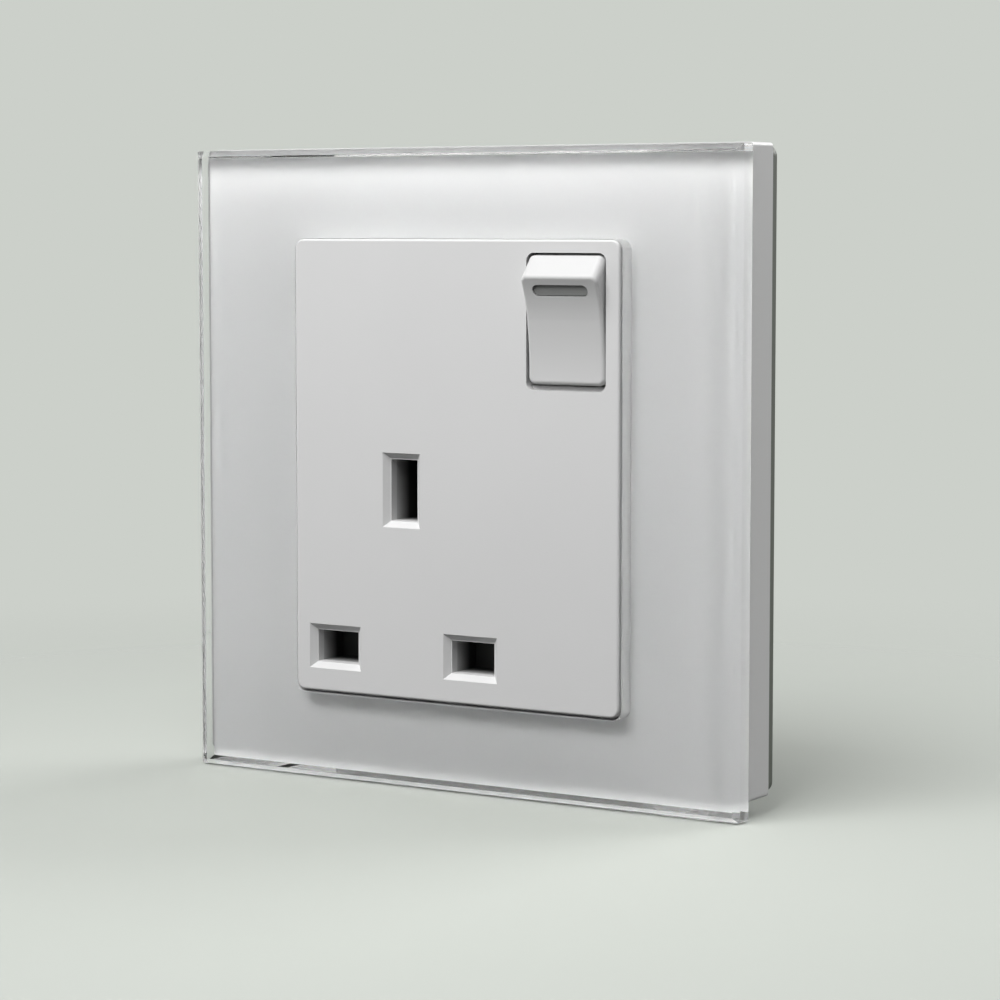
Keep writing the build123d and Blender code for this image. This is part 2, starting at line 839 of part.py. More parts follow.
with BuildPart() as earth_terminal:
    terminal_block(earth_x)
    block(
        earth_x,
        terminal_low_z + (tongue + tongue_gap) / 2,
        strap_w + 2 * tongue_gap,
        tongue + tongue_gap,
        earth_strap_y + strap_t + tongue_gap,
        earth_strap_y - tongue_gap,
        Mode.SUBTRACT,
    )
earth_terminal.part.label = "earth_terminal"
export_step(earth_terminal.part, "parts/earth_terminal.step")

with BuildPart() as terminal_screws:
    for x in (live_terminal_x, neutral_terminal_x, earth_x):
        post(x, clamp_z, clamp_r, base_rear - clamp_end, wire_rear_y + clamp_from)
        block(
            x,
            clamp_z,
            2 * clamp_r,
            clamp_slot_w,
            base_rear - clamp_end,
            base_rear - clamp_end - clamp_slot_depth,
            Mode.SUBTRACT,
        )
terminal_screws.part.label = "terminal_screws"
export_step(terminal_screws.part, "parts/terminal_screws.step")


def pole_clip(x):
    """Two leaves that grip a pin's flat sides, folded up from the strap."""
    for side in (-1, 1):
        block(
            x,
            poles_z + side * (clip_opening + clip_leaf) / 2,
            pole_clip_w,
            clip_leaf,
            strap_y + strap_t,
            clip_front,
        )
    strap(x, poles_z, pole_clip_w, clip_opening + 2 * clip_leaf, strap_y)


def strap(x, z, w, h, y):
    """Flat length of strap about (x, z), its front at depth y."""
    block(x, z, w, h, y + strap_t, y)


def fulcrum(x):
    """Upstand at the strap's end with the round edge that a bar rocks on."""
    block(x, switch_z, strap_w, upstand_t, strap_y + strap_t, contact_pivot_y)
    rod(x, contact_pivot_y, switch_z, rod_r, strap_w)


# Live strap: from the switch down the right side to its pin clip
with BuildPart() as live_receptacle:
    pole_clip(live_x)
    fulcrum(live_pole_x)
    strap(live_pole_x, (switch_z + poles_z) / 2, strap_w, switch_z - poles_z + strap_w, strap_y)
    strap((live_x + live_pole_x) / 2, poles_z, live_pole_x - live_x, strap_w, strap_y)
live_receptacle.part.label = "live_receptacle"
export_step(live_receptacle.part, "parts/live_receptacle.step")

# Neutral strap: down, across below the earth clip, and down to its pin clip
neutral_drop = switch_z - neutral_run_z
neutral_run = neutral_pole_x - neutral_x
with BuildPart() as neutral_receptacle:
    pole_clip(neutral_x)
    fulcrum(neutral_pole_x)
    strap(neutral_pole_x, switch_z - neutral_drop / 2, strap_w, neutral_drop + strap_w, strap_y)
    strap(neutral_x + neutral_run / 2, neutral_run_z, neutral_run + strap_w, strap_w, strap_y)
    strap(neutral_x, (neutral_run_z + poles_z) / 2, strap_w, neutral_run_z - poles_z, strap_y)
neutral_receptacle.part.label = "neutral_receptacle"
export_step(neutral_receptacle.part, "parts/neutral_receptacle.step")

# Earth clip and its strap up to the terminal
strap_top = terminal_low_z + tongue
with BuildPart() as earth_receptacle:
    for side in (-1, 1):
        block(
            earth_x + side * (clip_opening + clip_leaf) / 2,
            earth_z,
            clip_leaf,
            earth_clip_h,
            earth_strap_y + strap_t,
            clip_front,
        )
    strap(earth_x, earth_z, clip_opening + 2 * clip_leaf, earth_clip_h, earth_strap_y)
    strap(earth_x, (earth_z + strap_top) / 2, strap_w, strap_top - earth_z, earth_strap_y)
earth_receptacle.part.label = "earth_receptacle"
export_step(earth_receptacle.part, "parts/earth_receptacle.step")

# Shutter: a blade over the two lower apertures, a stem and a ramp for the earth pin
pin_top = earth_z + earth_h / 2 + shutter_gap
pin_bottom = earth_z - earth_h / 2 - shutter_gap
ramp_foot = pin_top - shutter_travel
ramp_rear = shutter_front + shutter_travel
with BuildPart() as shutter:
    block(
        (blade_left + blade_right) / 2,
        (blade_low + blade_high) / 2,
        blade_right - blade_left,
        blade_high - blade_low,
        shutter_rear,
        shutter_front,
    )
    block(
        earth_x,
        (blade_low + earth_z + stem_top) / 2,
        stem_w,
        earth_z + stem_top - blade_low,
        shutter_rear,
        shutter_front,
    )
    block(
        earth_x,
        (pin_bottom - shutter_travel + pin_top) / 2,
        shutter_window_w,
        pin_top - pin_bottom + shutter_travel,
        shutter_rear,
        shutter_front,
        Mode.SUBTRACT,
    )
    with BuildSketch(Plane.YZ.offset(earth_x - ramp_w / 2)):
        with BuildLine():
            Polyline(
                (shutter_front, pin_top),
                (ramp_rear, ramp_foot),
                (ramp_rear, earth_z + stem_top),
                (shutter_front, earth_z + stem_top),
                close=True,
            )
        make_face()
    extrude(amount=ramp_w)
    with Locations((earth_x, (shutter_front + shutter_rear) / 2, earth_z + stem_top + peg_l / 2)):
        Cylinder(peg_r, peg_l)
shutter.part.label = "shutter"
export_step(shutter.part, "parts/shutter.step")

with BuildPart() as shutter_spring:
    shutter_coil = Helix(
        (shutter_spring_l - 2 * shutter_wire_r) / shutter_turns,
        shutter_spring_l - 2 * shutter_wire_r,
        shutter_spring_r - shutter_wire_r,
        center=(earth_x, (shutter_front + shutter_rear) / 2, earth_z + stem_top + shutter_wire_r),
    )
    with BuildSketch(Plane(origin=shutter_coil @ 0, z_dir=shutter_coil % 0)):
        Circle(shutter_wire_r)
    sweep(path=shutter_coil, is_frenet=True)
shutter_spring.part.label = "shutter_spring"
export_step(shutter_spring.part, "parts/shutter_spring.step")


def support(x, z, h, y):
    """Rib on the housing's floor under a strap whose front is at depth y."""
    block(x, z, support_w, h, floor_y, y + strap_t + support_gap)


# Rear housing
barrier_x = ((neutral_pole_x + tab_edge) + (live_terminal_x - terminal_w / 2)) / 2
with BuildPart() as base_moulding:
    with BuildSketch(front_plane(base_rear)):
        RectangleRounded(base_w, base_h, base_corner_r)
    extrude(amount=base_rear - rim_y)
    fillet(base_moulding.faces().sort_by(Axis.Y)[-1].edges(), base_edge_r)
    with BuildSketch(front_plane(floor_y)):
        RectangleRounded(base_w - 2 * base_wall, base_h - 2 * base_wall, base_corner_r - base_wall)
    extrude(amount=floor_y - rim_y, mode=Mode.SUBTRACT)
    with BuildSketch(Plane.XY.offset(terminal_high_z)):
        with Locations((live_terminal_x, wire_y), (neutral_terminal_x, wire_y), (earth_x, wire_y)):
            Circle(wire_hole_r)
    extrude(amount=base_h / 2, mode=Mode.SUBTRACT)
    for x, z in joiner_spots:
        post(x, z, well_r + well_wall, floor_y, joiner_seat_y - well_floor)
        post(x, z, boss_r, joiner_seat_y, rim_y)
    block(
        barrier_x,
        (terminal_low_z + base_h / 2 - base_wall / 2) / 2,
        barrier,
        base_h / 2 - base_wall / 2 - terminal_low_z,
        floor_y,
        terminal_front,
    )
    block(
        switch_x,
        switch_z - (contact_down - strap_w / 2) / 2,
        barrier,
        contact_down + strap_w / 2,
        floor_y,
        contact_pivot_y - contact_front,
    )
    support(live_pole_x, (switch_z + poles_z) / 2, switch_z - poles_z, strap_y)
    support(neutral_pole_x, switch_z - neutral_drop / 2, neutral_drop, strap_y)
    support(live_x, poles_z, strap_w, strap_y)
    support(neutral_x, (poles_z + neutral_run_z) / 2, neutral_run_z - poles_z, strap_y)
    support(earth_x, earth_z + earth_clip_h / 2, earth_clip_h, earth_strap_y)
    for x, z in joiner_spots:
        post(x, z, well_r, base_rear, joiner_seat_y, Mode.SUBTRACT)
        post(x, z, joiner_r + joiner_gap, joiner_seat_y, rim_y, Mode.SUBTRACT)
    for x in (live_terminal_x, neutral_terminal_x, earth_x):
        post(x, clamp_z, clamp_hole_r, base_rear, floor_y, Mode.SUBTRACT)
base_moulding.part.label = "base_moulding"
export_step(base_moulding.part, "parts/base_moulding.step")

# Screws from the rear through the base into the cover
joiner_top = joiner_seat_y + joiner_head_h
with BuildPart() as cover_screws:
    for x, z in joiner_spots:
        post(x, z, joiner_r, joiner_seat_y, -joiner_reach)
        post(x, z, joiner_head_r, joiner_top, joiner_seat_y)
        cross_slot(x, z, 2 * joiner_r, clamp_slot_w, joiner_top, joiner_top - clamp_slot_depth)
    rims = cover_screws.edges().group_by(Axis.Y)[-1].filter_by(GeomType.CIRCLE)
    fillet(rims.group_by(SortBy.RADIUS)[-1], joiner_edge)
cover_screws.part.label = "cover_screws"
export_step(cover_screws.part, "parts/cover_screws.step")
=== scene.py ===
import json
import math

import bmesh
import bpy
from bpy.props import FloatProperty, FloatVectorProperty, IntProperty, PointerProperty
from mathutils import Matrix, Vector

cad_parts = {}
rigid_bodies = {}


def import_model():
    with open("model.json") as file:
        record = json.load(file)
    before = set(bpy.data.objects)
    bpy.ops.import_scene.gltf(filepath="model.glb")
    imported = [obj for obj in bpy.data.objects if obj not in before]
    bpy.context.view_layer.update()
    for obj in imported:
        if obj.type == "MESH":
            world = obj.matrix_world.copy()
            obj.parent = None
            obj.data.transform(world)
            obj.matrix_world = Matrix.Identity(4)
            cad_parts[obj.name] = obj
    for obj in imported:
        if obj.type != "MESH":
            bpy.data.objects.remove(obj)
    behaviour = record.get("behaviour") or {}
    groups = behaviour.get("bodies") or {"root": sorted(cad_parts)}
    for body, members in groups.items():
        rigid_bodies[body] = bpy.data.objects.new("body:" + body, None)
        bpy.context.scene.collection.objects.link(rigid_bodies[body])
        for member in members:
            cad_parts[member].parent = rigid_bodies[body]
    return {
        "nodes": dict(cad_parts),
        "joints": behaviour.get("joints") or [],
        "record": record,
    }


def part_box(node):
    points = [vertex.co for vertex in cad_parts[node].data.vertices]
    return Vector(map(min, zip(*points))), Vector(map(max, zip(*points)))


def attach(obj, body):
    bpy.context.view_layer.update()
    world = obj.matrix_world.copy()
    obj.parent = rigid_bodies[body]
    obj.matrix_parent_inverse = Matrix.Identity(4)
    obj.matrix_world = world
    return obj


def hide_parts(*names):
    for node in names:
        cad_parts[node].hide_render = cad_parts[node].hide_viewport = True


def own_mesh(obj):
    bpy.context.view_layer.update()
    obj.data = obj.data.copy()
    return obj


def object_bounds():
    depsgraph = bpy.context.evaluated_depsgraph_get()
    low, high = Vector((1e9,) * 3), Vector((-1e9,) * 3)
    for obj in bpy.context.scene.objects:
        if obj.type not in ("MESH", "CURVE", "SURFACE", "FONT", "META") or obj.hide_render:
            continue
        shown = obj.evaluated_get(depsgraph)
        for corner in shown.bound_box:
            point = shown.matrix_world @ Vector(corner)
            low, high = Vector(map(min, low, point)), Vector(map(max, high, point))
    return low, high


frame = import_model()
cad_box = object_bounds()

bl_info = {
    "name": "Switched wall socket",
    "version": (1, 0, 0),
    "blender": (4, 5, 0),
    "location": "View3D > Sidebar > Socket",
    "description": "Finishes the glass front, mouldings, metals and stage of a switched wall socket",
    "category": "Object",
}

MM = 0.001
BODY = "socket_body"
# Slack for picking the points that lie on one line or behind one plane
SLACK = 0.01 * MM
# Edges that turn by more than this stay sharp
SHARP_FROM = math.radians(30)


def linear(hex_colour):
    """Linear RGBA of an sRGB hex colour such as #dcdcdc."""
    srgb = [int(hex_colour[i : i + 2], 16) / 255 for i in (1, 3, 5)]
    return tuple(c / 12.92 if c <= 0.04045 else ((c + 0.055) / 1.055) ** 2.4 for c in srgb) + (1.0,)


def colour_prop(name, description, hex_colour):
    """Colour property with an sRGB default."""
    return FloatVectorProperty(
        name=name, description=description, default=linear(hex_colour), size=4, subtype="COLOR", min=0, max=1
    )


def length_prop(name, description, millimetres):
    """Length property whose default is given in millimetres."""
    return FloatProperty(
        name=name, description=description, default=millimetres * MM, unit="LENGTH", precision=5
    )


class SocketColours(bpy.types.PropertyGroup):
    """Colours of the socket's finishes."""

    insert: colour_prop("Insert", "Matt white moulding round the pin apertures", "#dcdcdc")
    # Painted shade: this dark tone is laid on the insert deep in the pin tunnels, where the white plastic
    # only lies in shade.
    core: colour_prop("Tunnel", "Dark inner layer of the insert, seen down the pin apertures", "#1c1c1c")
    rocker: colour_prop("Rocker", "Satin white of the switch", "#d1d1d1")
    carrier: colour_prop("Carrier", "White tray behind the glass", "#d8d8d8")
    film: colour_prop("Film", "White print seen through the glass", "#f6f6f6")
    # Painted shade: this dark greenish grey stands for the shaded gap between the frame and the wall, laid on
    # the plate as its colour.
    plate: colour_prop("Mounting plate", "Grey plate on the wall", "#585c54")
    housing: colour_prop("Housing", "Off-white rear housing", "#d2d1cb")
    lens: colour_prop("Lens", "Smoked indicator lens", "#808180")
    ceramic: colour_prop("Ceramic", "Lacquered body of the lamp's resistor", "#b9a27c")
    shutter: colour_prop("Shutter", "Black shutter", "#161616")
    nylon: colour_prop("Nylon", "Natural nylon of the plungers", "#d3cfbe")
    brass: colour_prop("Brass", "Rolled brass of clips and terminals", "#d3ae66")
    copper: colour_prop("Copper", "Rolled copper of the contact bars", "#c98563")
    silver: colour_prop("Silver", "Contact rivets", "#d9d5cc")
    zinc: colour_prop("Zinc", "Zinc-plated screws", "#b4b6b8")
    spring: colour_prop("Spring", "Drawn spring wire", "#8f9092")
    floor: colour_prop("Floor", "Pale paper under the socket", "#b4b8b2")
    backdrop: colour_prop("Backdrop", "Pale surroundings", "#ccd0ca")


class SocketSizes(bpy.types.PropertyGroup):
    """Sizes of the details that are added to the solids."""

    film_bond: length_prop("Film bond", "How far the film lies inside the glass, so no air is between", 0.02)
    film_stop: length_prop("Film stop", "Gap from the glass's face to the print on the window's edge", 0.12)
    film_corner: length_prop("Film corner", "Radius of the film's outer corners", 0.3)
    grain: length_prop("Insert grain", "Spacing of the moulded grain on the insert", 0.25)
    # The next three sizes place the painted shade in the pin tunnels: the insert keeps its white near the
    # face and round its border, and deeper in it darkens towards the dark tone.
    skin: length_prop("Insert skin", "Depth of the insert's white layer from its face", 2.1)
    blend: length_prop("Insert blend", "Depth over which the white layer turns into the dark one", 3.2)
    rim: length_prop("Insert rim", "Width of the insert's border that is white right through", 1.8)
    sill_reach: length_prop("Sill reach", "How far below the rocker the sill goes down", 1.5)
    sill_run: length_prop("Sill run", "Depth over which the sill under the rocker rises", 0.25)
    sill_set: length_prop("Sill set", "How far the sill under the rocker is set back", 0.65)
    thread_pitch: length_prop("Thread pitch", "Rise of the fixing screws' thread in one turn", 0.6)
    thread_depth: length_prop("Thread depth", "Height of the fixing screws' thread", 0.3)
    thread_steps: IntProperty(
        name="Thread steps", description="Facets in one turn of the thread", default=24, min=8
    )
    screw_point: length_prop("Screw point", "Length of the fixing screws' tapered point", 1.0)
    screw_end: length_prop("Screw end", "Radius of the fixing screws' flat end", 0.3)
    mark_drop: length_prop("Mark drop", "Space between a terminal and its mark", 1.0)
    mark_height: length_prop("Mark height", "Height of the terminal marks sunk in the housing", 3.4)
    mark_stroke: length_prop("Mark stroke", "Stroke width of the terminal marks", 0.55)
    mark_depth: length_prop("Mark depth", "Depth of the terminal marks", 0.35)


def add(tree, kind, inputs=None, **settings):
    """Adds a node with its settings, and links or sets its inputs."""
    node = tree.nodes.new(kind)
    for name, value in settings.items():
        setattr(node, name, value)
    for name, value in (inputs or {}).items():
        if isinstance(value, bpy.types.NodeSocket):
            tree.links.new(value, node.inputs[name])
        else:
            node.inputs[name].default_value = value
    return node


def calculate(tree, operation, first, second, **settings):
    """Result of a Math node."""
    return add(tree, "ShaderNodeMath", {0: first, 1: second}, operation=operation, **settings).outputs[0]


def calculate_vector(tree, operation, **inputs):
    """First result of a Vector Math node; the inputs are first, second and scale."""
    places = {"first": 0, "second": 1, "scale": "Scale"}
    values = {places[name]: value for name, value in inputs.items()}
    return add(tree, "ShaderNodeVectorMath", values, operation=operation).outputs[0]


def object_place(tree):
    """Object coordinates, which are metres in the shared frame."""
    return add(tree, "ShaderNodeTexCoord").outputs["Object"]


def noise(tree, place, size, detail):
    """Noise whose features are about one size across."""
    settings = {"Vector": place, "Scale": 1 / size, "Detail": detail}
    return add(tree, "ShaderNodeTexNoise", settings).outputs["Fac"]


def mix_colours(tree, share, first, second):
    """Colour between two colours."""
    return add(tree, "ShaderNodeMix", {0: share, 6: first, 7: second}, data_type="RGBA").outputs[2]


def dimmed(colour, share):
    """A colour with only a share of its light."""
    return tuple(c * share for c in colour[:3]) + (1.0,)


def blank_material(name, **shader_inputs):
    """New material with a Principled shader; returns the material, its tree and the shader."""
    material = bpy.data.materials.new(name)
    material.use_nodes = True
    tree = material.node_tree
    shader = tree.nodes["Principled BSDF"]
    for socket, value in shader_inputs.items():
        shader.inputs[socket.replace("_", " ")].default_value = value
    return material, tree, shader


def link_surface(tree, shader, tone, texture, relief, roughness, spread):
    """Links a colour to a shader, and a texture as its gloss and its relief."""
    range_of_gloss = {"Value": texture, "To Min": roughness - spread, "To Max": roughness + spread}
    gloss = add(tree, "ShaderNodeMapRange", range_of_gloss).outputs["Result"]
    bump = add(tree, "ShaderNodeBump", {"Height": texture, "Distance": relief, "Strength": 1.0})
    tree.links.new(tone, shader.inputs["Base Color"])
    tree.links.new(gloss, shader.inputs["Roughness"])
    tree.links.new(bump.outputs["Normal"], shader.inputs["Normal"])


def moulded_plastic(name, colour, grain, relief, roughness, cloud=18 * MM, shade=0.95, spread=0.06):
    """Injection-moulded plastic: an even colour with a faint cloud, and the grain of a spark-eroded mould."""
    material, tree, shader = blank_material(name, IOR=1.5)
    place = object_place(tree)
    tone = mix_colours(tree, noise(tree, place, cloud, 3.0), dimmed(colour, shade), tuple(colour))
    link_surface(tree, shader, tone, noise(tree, place, grain, 2.0), relief, roughness, spread)
    return material


def paint_tunnel_shade(material, colour, low, high, blend, start=0.3):
    """Painted shade in the pin tunnels: inside a box round them, the colour darkens with depth towards a dark
    tone that stands in for the shade deep in the tunnels.
    """
    tree = material.node_tree
    shader = tree.nodes["Principled BSDF"]
    skin = shader.inputs["Base Color"].links[0].from_socket
    middle, half = (low + high) / 2, (high - low) / 2
    place = object_place(tree)
    from_middle = calculate_vector(tree, "SUBTRACT", first=place, second=middle)
    in_halves = calculate_vector(tree, "DIVIDE", first=from_middle, second=half)
    apart = calculate_vector(tree, "ABSOLUTE", first=in_halves)
    sides = add(tree, "ShaderNodeSeparateXYZ", {0: apart}).outputs
    across = calculate(tree, "MAXIMUM", sides["X"], sides["Z"])
    furthest = calculate(tree, "MAXIMUM", across, sides["Y"])
    inside = calculate(tree, "LESS_THAN", furthest, 1.0)
    depth = add(tree, "ShaderNodeSeparateXYZ", {0: place}).outputs["Y"]
    deeper = {"Value": depth, "From Min": low.y, "From Max": low.y + blend, "To Min": start}
    share = add(tree, "ShaderNodeMapRange", deeper).outputs["Result"]
    shaded = calculate(tree, "MULTIPLY", inside, share)
    tone = mix_colours(tree, shaded, skin, tuple(colour))
    tree.links.new(tone, shader.inputs["Base Color"])


def worked_metal(name, colour, streak, relief, roughness, stretch=(1.0, 1.0, 0.08), shade=0.78, spread=0.1):
    """Rolled, drawn or plated metal: fine streaks along the way it was worked, and a little tarnish."""
    material, tree, shader = blank_material(name, Metallic=1.0)
    place = object_place(tree)
    drawn = add(tree, "ShaderNodeMapping", {"Vector": place, "Scale": stretch}).outputs["Vector"]
    tarnish = noise(tree, place, 4 * MM, 4.0)
    tone = mix_colours(tree, tarnish, dimmed(colour, shade), tuple(colour))
    link_surface(tree, shader, tone, noise(tree, drawn, streak, 3.0), relief, roughness, spread)
    return material


def polished_glass(name, clear, faint):
    """Polished low-iron float glass: clear, with a very faint tint that drifts across the sheet."""
    material, tree, shader = blank_material(name, Roughness=0.0, IOR=1.52, Transmission_Weight=1.0)
    drift = noise(tree, object_place(tree), 40 * MM, 1.0)
    tree.links.new(mix_colours(tree, drift, faint, clear), shader.inputs["Base Color"])
    return material


def rounded_ring(low, high, radius, y, steps=6):
    """Points round a rectangle with rounded corners, at one depth."""
    points = []
    for x_sign, z_sign, start in ((1, 1, 0), (-1, 1, 90), (-1, -1, 180), (1, -1, 270)):
        x = high[0] - radius if x_sign > 0 else low[0] + radius
        z = high[1] - radius if z_sign > 0 else low[1] + radius
        for i in range(steps + 1):
            angle = math.radians(start + 90 * i / steps)
            points.append((x + radius * math.cos(angle), y, z + radius * math.sin(angle)))
    return points


def ring_mesh(name, rings):
    """Closed skin through rings of points, each joined to the next and the last to the first."""
    shape = bmesh.new()
    rows = [[shape.verts.new(point) for point in ring] for ring in rings]
    for row, after in zip(rows, rows[1:] + rows[:1]):
        for i in range(len(row)):
            j = (i + 1) % len(row)
            shape.faces.new((row[i], row[j], after[j], after[i]))
    bmesh.ops.recalc_face_normals(shape, faces=shape.faces)
    mesh = bpy.data.meshes.new(name)
    shape.to_mesh(mesh)
    shape.free()
    return mesh


def merged_copy(name, node):
    """Mesh copy of a CAD node with its seams merged."""
    shape = bmesh.new()
    shape.from_mesh(frame["nodes"][node].data)
    bmesh.ops.remove_doubles(shape, verts=shape.verts, dist=0.001 * MM)
    mesh = bpy.data.meshes.new(name)
    shape.to_mesh(mesh)
    shape.free()
    if mesh.has_custom_normals:
        mesh.attributes.remove(mesh.attributes["custom_normal"])
    return mesh


def finish_of(node):
    """Material that a CAD node wears."""
    return frame["nodes"][node].material_slots[0].material


def dress(material, *names):
    """Gives CAD nodes a finish."""
    for name in names:
        for slot in frame["nodes"][name].material_slots:
            slot.material = material


def dress_all(finishes, make, colours):
    """Makes each finish of a table and gives it to its CAD nodes."""
    for name, colour, spacing, relief, roughness, nodes in finishes:
        dress(make(name, getattr(colours, colour), spacing * MM, relief * MM, roughness), *nodes)


def new_piece(name, mesh, material, body):
    """Links a finished mesh into the scene as a piece that moves with a body."""
    piece = bpy.data.objects.new(name, mesh)
    bpy.context.scene.collection.objects.link(piece)
    if not mesh.materials:
        mesh.materials.append(material)
    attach(piece, body)
    return piece


class SOCKET_OT_glass_front(bpy.types.Operator):
    """Polished glass and the white film bonded to its back"""

    bl_idname = "socket.glass_front"
    bl_label = "Glass front"

    def execute(self, context):
        sizes, colours = context.scene.socket_sizes, context.scene.socket_colours
        dress(polished_glass("polished_float_glass", linear("#fdfdfd"), linear("#f9fafa")), "glass_panel")
        enamel = moulded_plastic("white_film", colours.film, 0.4 * MM, 0.002 * MM, 0.5)
        low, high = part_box("backing_film")
        points = [vertex.co for vertex in frame["nodes"]["backing_film"].data.vertices]
        window = [p for p in points if max(abs(p.x), abs(p.z)) < 0.9 * high.x]
        right, top, bottom = max(p.x for p in window), max(p.z for p in window), min(p.z for p in window)
        turn = right - max(p.x for p in window if p.z > top - SLACK)
        bond = sizes.film_bond
        sheet = ((-high.x, low.z), (high.x, high.z), sizes.film_corner)
        inside = ((-right - bond, bottom - bond), (right + bond, top + bond), turn)
        outside = ((-right + bond, bottom + bond), (right - bond, top - bond), turn)
        front, edge = low.y - bond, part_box("glass_panel")[0].y + sizes.film_stop
        outlines = (sheet, sheet, inside, inside, outside, outside)
        depths = (high.y, front, front, edge, edge, high.y)
        rings = [rounded_ring(*outline, y) for outline, y in zip(outlines, depths)]
        film = new_piece("bonded_film", ring_mesh("bonded_film", rings), enamel, BODY)
        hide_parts("backing_film")
        return {"FINISHED"}


class SOCKET_OT_mouldings(bpy.types.Operator):
    """Tray, mounting plate, insert, rear housing, shutter and plungers"""

    bl_idname = "socket.mouldings"
    bl_label = "Mouldings"

    # Finish, its colour, spacing and height of its grain in millimetres, roughness and nodes
    FINISHES = (
        ("satin_white_abs", "carrier", 0.35, 0.004, 0.38, ("carrier_frame",)),
        # The mounting plate's tone is painted shade, darker than the plate's own grey.
        ("matt_grey_abs", "plate", 0.4, 0.006, 0.5, ("mounting_plate",)),
        ("off_white_thermoset", "housing", 0.5, 0.008, 0.55, ("base_moulding",)),
        ("black_polyamide", "shutter", 0.3, 0.004, 0.5, ("shutter",)),
        ("natural_nylon", "nylon", 0.25, 0.003, 0.4, ("live_plunger", "neutral_plunger")),
    )

    def execute(self, context):
        sizes, colours = context.scene.socket_sizes, context.scene.socket_colours
        dress_all(self.FINISHES, moulded_plastic, colours)
        urea = moulded_plastic("matt_white_urea", colours.insert, sizes.grain, 0.012 * MM, 0.5)
        # Painted shade: deep in the pin tunnels the insert's white darkens towards the dark tunnel tone.
        low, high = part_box("socket_cover")
        margin = Vector((sizes.rim, sizes.skin, sizes.rim))
        inner_high = Vector((high.x - sizes.rim, high.y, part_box("rocker")[0].z - sizes.skin))
        paint_tunnel_shade(urea, colours.core, low + margin, inner_high, sizes.blend)
        dress(urea, "socket_cover")
        return {"FINISHED"}


class SOCKET_OT_insert(bpy.types.Operator):
    """Insert whose sill under the rocker stands steep, in the shade of the rocker's lower end"""

    bl_idname = "socket.insert"
    bl_label = "Insert"

    def execute(self, context):
        sizes = context.scene.socket_sizes
        source = frame["nodes"]["socket_cover"].data
        mesh = merged_copy("matt_insert", "socket_cover")
        if len(mesh.loops) != len(source.loops):
            raise RuntimeError("the merged insert lost corners, so its normals can't be carried over")
        mesh.normals_split_custom_set([corner.vector for corner in source.corner_normals])
        low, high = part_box("rocker")
        sill = set()
        for face in mesh.polygons:
            beside = low.x < face.center.x < high.x
            below = low.z - sizes.sill_reach < face.center.z < low.z
            slopes_up = face.normal.y < -0.5 and face.normal.z > 0.5
            if beside and below and slopes_up:
                sill.update(face.vertices)
        depths = [mesh.vertices[i].co.y for i in sill]
        top = max(depths)
        share = sizes.sill_run / (top - min(depths))
        for i in sill:
            mesh.vertices[i].co.y = top + sizes.sill_set + (mesh.vertices[i].co.y - top) * share
        insert = new_piece("matt_insert", mesh, finish_of("socket_cover"), BODY)
        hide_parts("socket_cover")
        return {"FINISHED"}


class SOCKET_OT_rocker(bpy.types.Operator):
    """Rocker with its smoked lens, lamp and resistor"""

    bl_idname = "socket.rocker"
    bl_label = "Rocker"

    # Finish, its colour, spacing and height of its grain in millimetres, roughness and nodes
    FINISHES = (
        ("satin_white_urea", "rocker", 0.25, 0.003, 0.42, ("rocker",)),
        ("smoked_polycarbonate", "lens", 0.2, 0.001, 0.25, ("indicator_lens",)),
        ("lacquered_ceramic", "ceramic", 0.2, 0.002, 0.35, ("lamp_resistor",)),
    )

    def execute(self, context):
        dress_all(self.FINISHES, moulded_plastic, context.scene.socket_colours)
        dress(polished_glass("lamp_glass", linear("#f3d9c4"), linear("#e8c9ad")), "neon_lamp")
        return {"FINISHED"}


class SOCKET_OT_metals(bpy.types.Operator):
    """Brass clips and terminals, copper bars, contact rivets, springs and screws"""

    bl_idname = "socket.metals"
    bl_label = "Metals"

    CLIPS = ("live_receptacle", "neutral_receptacle", "earth_receptacle")
    TERMINALS = ("live_terminal", "neutral_terminal", "earth_terminal")
    BARS = ("live_moving_contact", "neutral_moving_contact")
    RIVETS = ("live_moving_tip", "neutral_moving_tip", "fixed_contact_tips")
    SPRINGS = ("shutter_spring", "live_plunger_spring", "neutral_plunger_spring")
    SCREWS = ("cover_screws", "terminal_screws", "fixing_screws")
    # Finish, its colour, spacing and height of its streaks in millimetres, roughness and nodes
    FINISHES = (
        ("rolled_brass", "brass", 0.12, 0.001, 0.3, CLIPS + TERMINALS),
        ("rolled_copper", "copper", 0.12, 0.001, 0.32, BARS),
        ("silver_rivets", "silver", 0.1, 0.0005, 0.25, RIVETS),
        ("spring_wire", "spring", 0.08, 0.0005, 0.3, SPRINGS),
        ("zinc_plated_steel", "zinc", 0.15, 0.001, 0.35, SCREWS),
    )

    def execute(self, context):
        dress_all(self.FINISHES, worked_metal, context.scene.socket_colours)
        return {"FINISHED"}


class SOCKET_OT_springs(bpy.types.Operator):
    """Coil springs of the shutter and the plungers, as merged copies on the body that holds each"""

    bl_idname = "socket.springs"
    bl_label = "Springs"

    def execute(self, context):
        for moving in ("shutter", "live_plunger", "neutral_plunger"):
            node = moving + "_spring"
            joint = next(item for item in frame["joints"] if item["name"] == moving + "_slide")
            mesh = merged_copy(moving + "_coil", node)
            mesh.set_sharp_from_angle(angle=SHARP_FROM)
            coil = new_piece(moving + "_coil", mesh, finish_of(node), joint["parent"])
            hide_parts(node)
            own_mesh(coil)
        return {"FINISHED"}


